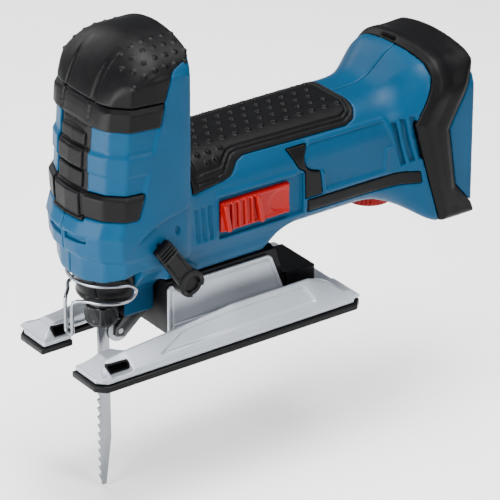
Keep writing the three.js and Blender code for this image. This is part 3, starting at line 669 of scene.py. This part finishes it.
def grip_details(piece, x, y, z, body):
    edge = outline_field(x, abs(y), GRIP_LINE)
    lines = np.maximum(np.minimum(abs(edge) - 0.5, abs(edge - 2.0) - 0.4), 93 - z)
    piece = smooth_max(piece, -np.maximum(lines, -(body + 0.3)), 0.35)
    return smooth_min(piece, grip_dots(x, y, z), 0.4)


def bumper_raise(x, z):
    """The bumper swells from its front edge to a crease, and sinks a little towards its rear edge."""
    inside = np.clip(-outline_field(x, z, BUMPER_OUTLINE), 0, 20)
    return 0.2 + 1.9 * step(inside, 0, 4.2) - 0.5 * step(inside, 5, 12)


def bumper_details(piece, x, y, z, body):
    piece = smooth_max(piece, -box_field(x, y, z, (-135, -14, 124.5), (-130.5, -2, 140), 0.8), 0.6)
    return np.maximum(piece, -battery_bay(x, y, z))


def make_rubber():
    cap = rubber("head_cap_rubber", cap_region, (18, -38, 145), (74, 38, 186), 0.55, 0.35, cap_details)
    place(cap, "housing", "black_rubber", "head_cap")
    bands = rubber("head_grip_rubber", band_region, (36, -37, 86), (80, 37, 149), 0.55, 0.3, band_details)
    place(bands, "housing", "black_rubber", "head_grip")
    grip = rubber("barrel_grip_rubber", REGIONS["barrel_grip"], (-92, -33, 89), (20, 33, 114), 0.5, 0.4,
                  grip_details)
    place(grip, "housing", "black_rubber", "barrel_grip")
    bumper = rubber("rear_bumper_rubber", REGIONS["rear_bumper"], (-159, -42, 36), (-118, 42, 132), 0.6,
                    bumper_raise, bumper_details)
    place(bumper, "housing", "black_rubber", "rear_bumper")
    for side, name in ((1, "left"), (-1, "right")):
        for kind, low, high in (("side_strip", (-126, 24, 58), (-51, 40, 70)),
                                ("side_wedge", (-63, 24, 68), (-39, 36, 101))):
            lows = (low[0], low[1] if side > 0 else -high[1], low[2])
            highs = (high[0], high[1] if side > 0 else -low[1], high[2])
            piece = rubber(kind + "_rubber_" + name, REGIONS[kind + "s"], lows, highs, 0.5, 0.15)
            replaced = ["side_strip_" + name] if kind == "side_strip" else []
            place(piece, "housing", "black_rubber", *replaced)


# ---- mechanical pieces: the CAD node's own mesh, with its edges rounded ----
def refined(node, name, width_mm, segments=2, dissolve=1.0, angle=14):
    """A piece made from a CAD node: triangles of one plane merged, then the sharp edges bevelled."""
    mesh = frame["nodes"][node].data.copy()
    mesh.name = name
    obj = bpy.data.objects.new(name, mesh)
    bpy.context.scene.collection.objects.link(obj)
    work = bmesh.new()
    work.from_mesh(mesh)
    bmesh.ops.remove_doubles(work, verts=work.verts, dist=2e-6)
    bmesh.ops.dissolve_limit(work, angle_limit=math.radians(dissolve), verts=work.verts, edges=work.edges)
    work.to_mesh(mesh)
    work.free()
    bevel = obj.modifiers.new("round", "BEVEL")
    bevel.width = width_mm * MM
    bevel.segments = segments
    bevel.limit_method = "ANGLE"
    bevel.angle_limit = math.radians(angle)
    bevel.use_clamp_overlap = True
    bevel.harden_normals = False
    obj.data = bpy.data.meshes.new_from_object(obj.evaluated_get(bpy.context.evaluated_depsgraph_get()))
    obj.modifiers.clear()
    obj.data.name = name
    obj.data.shade_smooth()
    obj.data.set_sharp_from_angle(angle=math.radians(24))
    slot_name = SLOT_OF[node]
    obj.data.materials.clear()
    obj.data.materials.append(SLOT_MATERIAL[slot_name])
    return place(obj, BODY_OF[node], slot_name, node)


def smooth_line(points, steps=8):
    """Catmull-Rom points through the given ones."""
    points = np.array([points[0], *points, points[-1]], float)
    line = []
    for a, b, c, d in zip(points, points[1:], points[2:], points[3:]):
        for t in np.arange(steps) / steps:
            line.append(0.5 * (2 * b + (c - a) * t + (2 * a - 5 * b + 4 * c - d) * t ** 2
                               + (3 * b - a - 3 * c + d) * t ** 3))
    return [*line, points[-1]]


def tube(name, points, radius_mm, material, sides=12):
    """A round wire swept along a line of points, as a closed mesh."""
    curve = bpy.data.curves.new(name, "CURVE")
    curve.dimensions = "3D"
    spline = curve.splines.new("POLY")
    spline.points.add(len(points) - 1)
    for spot, p in zip(spline.points, points):
        spot.co = (*(np.array(p) * MM), 1)
    curve.bevel_depth = radius_mm * MM
    curve.bevel_resolution = sides // 2 - 1
    curve.use_fill_caps = True
    holder = bpy.data.objects.new(name + "_line", curve)
    bpy.context.scene.collection.objects.link(holder)
    mesh = bpy.data.meshes.new_from_object(holder.evaluated_get(bpy.context.evaluated_depsgraph_get()))
    bpy.data.objects.remove(holder)
    mesh.name = name
    mesh.materials.clear()
    mesh.materials.append(material)
    mesh.shade_smooth()
    obj = bpy.data.objects.new(name, mesh)
    bpy.context.scene.collection.objects.link(obj)
    return obj


SLOT_OF = {row["node"]: row["material_slot"] for row in frame["record"]["subparts"]}
BODY_OF = {node: body for body, nodes in frame["record"]["behaviour"]["bodies"].items() for node in nodes}


# ---- controls ----
def make_switch():
    """The sliding switch: a plate with slanted ribs, the first and last of them larger."""
    low, high = SWITCH_LOW, SWITCH_HIGH

    def field(x, y, z):
        plate = box_field(x, y, z, (low[0], 23.6, low[2]), (high[0], 31.2, high[2]), 1.2)
        ribs = None
        for number in range(6):
            centre = high[0] - 2.4 - 4.1 * number
            big = number in (0, 5)
            tilt = 0.3 if big else 0.05
            reach = 34.6 if big else 32.9
            half = 1.3 if big else 0.8
            rib = box_field(x - tilt * (z - 73) * 0.6, y, z, (centre - half, 29, low[2] + 1),
                            (centre + half, reach, high[2] - 1), 0.6)
            ribs = rib if ribs is None else np.minimum(ribs, rib)
        body = smooth_min(plate, ribs, 0.9)
        rim = np.maximum(abs(abs(z - 73.5) - 7.4) - 0.5, abs(y - 31.4) - 0.5)
        rim = np.maximum(rim, abs(x - (low[0] + high[0]) / 2) - (high[0] - low[0]) / 2 + 1)
        body = smooth_min(body, rim, 0.4)
        dish = ((x - (low[0] + 6)) / 7) ** 2 + ((z - 73.5) / 5.6) ** 2
        return smooth_max(body, -np.maximum((dish - 1) * 2, 30.7 - y), 0.6)

    piece = field_piece("switch_slider", field, low, high, 0.35, RED)
    place(piece, "power_switch", "red_plastic", "power_switch")


LEVER_TIP = (42, 70)             # X and Z of the arm's end at rest


def make_lever():
    """The orbit lever: a ring with an opening at its hub, and an arm with a ribbed tip."""
    low, high = mm_box("orbit_lever")
    hub_x, hub_z = LEVER_HUB[0], LEVER_HUB[2]
    angle = math.atan2(LEVER_TIP[1] - hub_z, LEVER_TIP[0] - hub_x)
    reach = math.hypot(LEVER_TIP[1] - hub_z, LEVER_TIP[0] - hub_x)
    ca, sa = math.cos(angle), math.sin(angle)

    def field(x, y, z):
        along = (x - hub_x) * ca + (z - hub_z) * sa
        across = (z - hub_z) * ca - (x - hub_x) * sa
        radial = np.sqrt(along ** 2 + across ** 2)
        hub = np.maximum(radial - 7.4, np.maximum(27.8 - y, y - 35.4))
        width = 5.7 - 0.9 * np.clip(along / reach, 0, 1)
        arm = smooth_max(abs(across) - width, np.maximum(-along, along - reach), 1.5)
        arm = np.maximum(arm, np.maximum(32.2 - y, y - (35.2 + 0.035 * np.clip(along, 0, 40))))
        tip = box_field(along, across, y, (reach - 8.6, -4.9, 33), (reach + 0.2, 4.9, 37.6), 1.2)
        body = smooth_min(smooth_min(hub, arm, 2.0), tip, 1.2)
        body = smooth_max(body, y - 37.8, 1.0)
        hollow = np.maximum(radial - 4.7, 33.2 - y)
        mouth = np.maximum(np.maximum(abs(across) - 3.6, along - 2), np.maximum(-8 - along, 34.2 - y))
        body = smooth_max(body, -np.minimum(hollow, mouth), 0.7)
        for offset in (-6.2, -4.1, -2.0):
            notch = np.maximum(abs(along - reach - offset) - 0.42, 36.7 - y)
            body = smooth_max(body, -notch, 0.4)
        side = np.maximum(abs(abs(across) - 3.6) - 0.35, np.maximum(35.1 - y, abs(along - reach / 2) - 6.5))
        return smooth_max(body, -side, 0.3)

    piece = field_piece("orbit_lever_body", field, low, high, 0.35, BLACK)
    place(piece, "orbit_lever", SLOT_OF["orbit_lever"], "orbit_lever")


def make_dial():
    """The speed wheel on its stem, knurled round its rim, with a thin ring grooved into its lower face."""
    low, high = mm_box("speed_dial")

    def field(x, y, z):
        radial = np.sqrt((x - DIAL[0]) ** 2 + (y - DIAL[1]) ** 2)
        turn = np.arctan2(y - DIAL[1], x - DIAL[0])
        knurl = 0.42 * np.cos(turn * 36) * (z < low[2] + 8.6) * (z > low[2] + 1.2)
        wheel = smooth_max(radial - (DIAL_RADIUS - 0.45) - knurl, abs(z - (low[2] + 5)) - 5, 1.1)
        stem = np.maximum(radial - 5.5, np.maximum(low[2] + 6 - z, z - high[2]))
        body = np.minimum(wheel, stem)
        face = np.maximum(abs(radial - 9.2) - 0.5, z - low[2] - 0.5)
        return smooth_max(body, -face, 0.3)

    piece = field_piece("speed_wheel", field, low, high, 0.4, RED)
    place(piece, "speed_dial", SLOT_OF["speed_dial"], "speed_dial")


def make_nose():
    """The bezel round the plunger's mouth: a curved apron with a rolled lower lip."""
    low, high = NOSE_LOW, NOSE_HIGH

    def field(x, y, z):
        cx, cy = 50.0, 0.0
        radial = np.sqrt(((x - cx) * 0.97) ** 2 + (y - cy) ** 2)
        lift = (z - low[2]) / (high[2] - low[2])
        outer = 17.2 + 2.0 * np.clip(lift, 0, 1)
        shell = np.maximum(radial - outer, outer - 3.0 - radial)
        shell = smooth_max(shell, np.maximum(low[2] + 0.3 - z, z - high[2] - 0.2), 1.2)
        lip = np.sqrt((radial - outer + 1.2) ** 2 + (z - low[2] - 1.8) ** 2) - 1.8
        slit = np.maximum(abs(abs(y) - 9.6) - 0.45, np.maximum(low[2] + 4 - z, outer - 0.9 - radial))
        piece = smooth_max(smooth_min(shell, lip, 0.8), -slit, 0.4)
        return np.maximum(piece, 48.2 - x)

    piece = field_piece("nose_apron", field, low - 1, high + 1, 0.4, BLACK)
    place(piece, "housing", SLOT_OF["nose_bezel"], "nose_bezel")


def make_clamp():
    """The blade clamp's collar, with slanted spring lines round it."""
    low, high = mm_box("clamp_sleeve")

    def field(x, y, z):
        radial = np.sqrt((x - BLADE_X) ** 2 + y ** 2)
        turn = np.arctan2(y, x - BLADE_X)
        wave = np.cos(turn * 12 + (z - low[2]) * 0.8)
        collar = np.maximum(radial - 8.9 + 0.22 * (1 - wave), 7.9 - radial)
        collar = smooth_max(collar, np.maximum(low[2] - z, z - high[2]), 0.7)
        grips = None
        for number in range(3):
            angle = math.pi / 3 + number * 2 * math.pi / 3
            along = (x - BLADE_X) * math.cos(angle) + y * math.sin(angle)
            across = y * math.cos(angle) - (x - BLADE_X) * math.sin(angle)
            grip = box_field(along, across, z, (8.1, -1.4, low[2] + 0.2), (9.8, 1.4, high[2] - 0.2), 0.6)
            grips = grip if grips is None else np.minimum(grips, grip)
        return smooth_min(collar, grips, 0.5)

    piece = field_piece("clamp_collar", field, low, high, 0.3, DARK)
    place(piece, "clamp_ring", SLOT_OF["clamp_sleeve"], "clamp_sleeve")


def make_guard():
    """The wire guard: a U in front of the blade whose ends run back round the nose in two turns."""
    nose_x, reach = 51.0, 21.6

    def around(degrees, z):
        angle = math.radians(degrees)
        return (nose_x + reach * math.cos(angle), reach * math.sin(angle), z)

    half = [(76, 0, 16.6), (76, 2.6, 17.4), (76, 3.1, 20), (76, 3.1, 32), (75, 4.2, 36)]
    half += [around(*spot) for spot in ((24, 37), (45, 37), (68, 37), (86, 38), (96, 42), (86, 46),
                                        (68, 46.8), (45, 46.8), (24, 46.8), (2, 46.8))]
    other = [(x, -y, z) for x, y, z in half[1:]][::-1]
    wire = tube("wire_guard_bent", smooth_line(other + half), 1.0, STEEL)
    place(wire, "housing", SLOT_OF["wire_guard"], "wire_guard")


# X, ridge height, inner foot, inner and outer edge of the ridge's top, of each pod of the casting.
POD = [
    (-82, 7.5, 18, 18, 35), (-79, 10, 18, 18, 35), (-74, 10.5, 18, 19, 35), (-66, 16, 22, 24, 30),
    (-56, 20, 24, 26.5, 28), (-7, 20, 24, 26.5, 28), (30, 17, 24.2, 27.6, 28.6), (61, 14.6, 25, 28.2, 29),
    (65.6, 13.9, 15.5, 21, 28.8), (72.5, 13.2, 15.5, 21, 29), (82.3, 7, 15.5, 18, 35),
]


def slope(a, b, first, second):
    """Distance from the line through two moving points, positive on its left."""
    da, db = second[0] - first[0], second[1] - first[1]
    return ((a - first[0]) * -db + (b - first[1]) * da) / np.sqrt(da ** 2 + db ** 2)


def casting_field(x, y, z, windows=True):
    a = abs(y)
    flange = np.maximum(np.maximum(abs(x) - CAST_HIGH[0], a - CAST_HIGH[1]), (abs(x) + a - 116) * 0.707)
    flange = smooth_max(flange, np.maximum(z - 6.5, CAST_LOW[2] - z), 0.5)
    slot = np.minimum(np.maximum(17.5 - x, a - 24), np.maximum(60 - x, a - 14.6))
    slot = np.maximum(slot, np.where(x > 65, a - 14.6, a - 24))
    flange = smooth_max(flange, -slot, 0.5)
    top, foot, inner, outer = (table(x, POD, column, 0.5) for column in range(1, 5))
    edge = np.minimum(8.2, top)
    rise = (z - edge) / np.maximum(top - edge, 1)
    side = slope(a, z, (outer, top), (37.6, edge))
    panel = panel_field(x, rise)
    side = side + 0.9 * step(-panel, 0.0, 0.5)
    pod = smooth_max(side, z - top, 0.35)
    pod = smooth_max(pod, slope(a, z, (foot, np.maximum(7, top - 5)), (inner, top)), 0.35)
    pod = smooth_max(pod, np.maximum(foot - a, a - 38.2), 0.35)
    pod = smooth_max(pod, np.maximum(abs(x) - 82.2, 6 - z), 0.35)
    window = box_field(x, a, z, (62, 10, 6.9), (75, 45, 11.6), 0.6)
    body = smooth_min(flange, pod, 0.4)
    if windows:
        body = smooth_max(body, -window, 0.25)
    return np.maximum(body, -cylinder_field(x, y, z, (-20, 0), 5, 0, 9))


def panel_field(x, rise):
    """A long shallow panel on the pod's outer face, with a slanted front end."""
    ends = np.maximum(-57 + 7 * rise - x, x - (50 - 30 * rise))
    across = (abs(rise - 0.5) - 0.33) * 9
    return smooth_max(ends * 0.8, across, 1.5)


def make_footplate():
    low, high = CAST_LOW, CAST_HIGH
    piece = field_piece("footplate_casting", casting_field, low, high, 0.5, CAST)
    place(piece, "footplate", SLOT_OF["base_casting"], "base_casting")
    outline = [(PLATE_LOW[0], 7), (PLATE_HIGH[0], 7), (PLATE_HIGH[0], 33), (24, 35), (-38, 35), (-40, 33)]
    for side, name in ((1, "left"), (-1, "right")):
        def plate(x, y, z, side=side):
            edge = outline_field(x, z, outline)
            thick = abs(side * y - 16.1) - 0.88
            body = smooth_max(edge, thick, 0.5)
            line = np.minimum(abs(edge + 2.4) - 0.35, np.maximum(abs(z - 12.5) - 0.35, edge + 2.4))
            return smooth_max(body, -np.maximum(line, 16.55 - side * y), 0.3)

        lows, highs = mm_box("side_plate_" + name)
        piece = field_piece("side_plate_" + name + "_pressed", plate, lows, highs, 0.45, CAST)
        place(piece, "footplate", SLOT_OF["side_plate_" + name], "side_plate_" + name)

        # Painted shade: a thin black sleeve lining each guide window, a dark piece standing in for the shadow
        # inside the opening
        def shade_liner(x, y, z, side=side):
            outer = box_field(x, side * y, z, (62.15, 15.8, 7.05), (74.85, 34.6, 11.45), 0.4)
            hole = box_field(x, side * y, z, (62.9, 10, 7.7), (74.1, 50, 10.8), 0.3)
            return np.maximum(np.maximum(outer, -hole), casting_field(x, y, z, False) + 0.2)

        lows = (62, 15.5, 6.9) if side > 0 else (62, -35, 6.9)
        highs = (75, 35, 11.6) if side > 0 else (75, -15.5, 11.6)
        place(field_piece("guide_window_shade_liner_" + name, shade_liner, lows, highs, 0.3, BLACK), "footplate",
              "black_plastic")


# How wide the rounding of each piece's sharp edges is, in millimetres.
BEVEL_WIDTH = {
    "sole_plate": 0.7, "bevel_saddle": 0.5, "dust_port": 0.8, "bevel_screw": 0.3, "saw_blade": 0.12,
    "clamp_body": 0.4, "guide_fork": 0.6, "guide_roller": 0.3, "housing_screw_1": 0.3,
    "housing_screw_2": 0.3, "housing_screw_3": 0.3, "housing_screw_4": 0.3, "plunger_rod": 0.4,
}


def make_mechanics():
    for node, width in BEVEL_WIDTH.items():
        refined(node, node + "_finished", width)


# ---- floor and light ----
def make_stage():
    floor_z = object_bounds()[0][2] - 0.0015
    mesh = bpy.data.meshes.new("floor")
    size = 6.0
    mesh.from_pydata([(-size, -size, floor_z), (size, -size, floor_z), (size, size, floor_z),
                      (-size, size, floor_z)], [], [(0, 1, 2, 3)])
    floor = bpy.data.objects.new("floor", mesh)
    bpy.context.scene.collection.objects.link(floor)
    mesh.materials.append(plastic("floor", (252, 252, 252), 0.85, grain_mm=4, grain_depth=0.02,
                                  variation=0.01, wear=0.0))


def area_light(name, place_at, aim, size, power, size_y=None):
    data = bpy.data.lights.new(name, "AREA")
    data.shape = "RECTANGLE"
    data.size = size
    data.size_y = size_y or size
    data.energy = power
    lamp = bpy.data.objects.new(name, data)
    lamp.location = place_at
    lamp.rotation_mode = "QUATERNION"
    lamp.rotation_quaternion = (Vector(place_at) - Vector(aim)).to_track_quat("Z", "Y")
    bpy.context.scene.collection.objects.link(lamp)


def make_lights():
    world = bpy.data.worlds.new("studio")
    bpy.context.scene.world = world
    world.use_nodes = True
    world.node_tree.nodes["Background"].inputs["Color"].default_value = (0.93, 0.95, 1.0, 1)
    world.node_tree.nodes["Background"].inputs["Strength"].default_value = 0.26
    centre = (-0.04, 0, 0.06)
    area_light("top", (-0.1, 0.1, 1.3), centre, 0.9, 48)
    area_light("front", (1.05, 0.2, 0.35), (0.03, 0, 0.1), 0.5, 24)
    area_light("front_low", (0.62, -0.08, -0.04), (0.06, 0, 0.12), 0.4, 6)
    area_light("near_side", (-0.25, 1.2, 0.75), centre, 0.6, 14)
    area_light("fill", (0.2, -1.2, 0.8), centre, 0.9, 12)


# ---- making, camera first ----
make_camera()
finish_cad_nodes()
make_housing()
make_rubber()
make_switch()
make_lever()
make_dial()
make_nose()
make_clamp()
make_guard()
make_footplate()
make_mechanics()
make_stage()
make_lights()
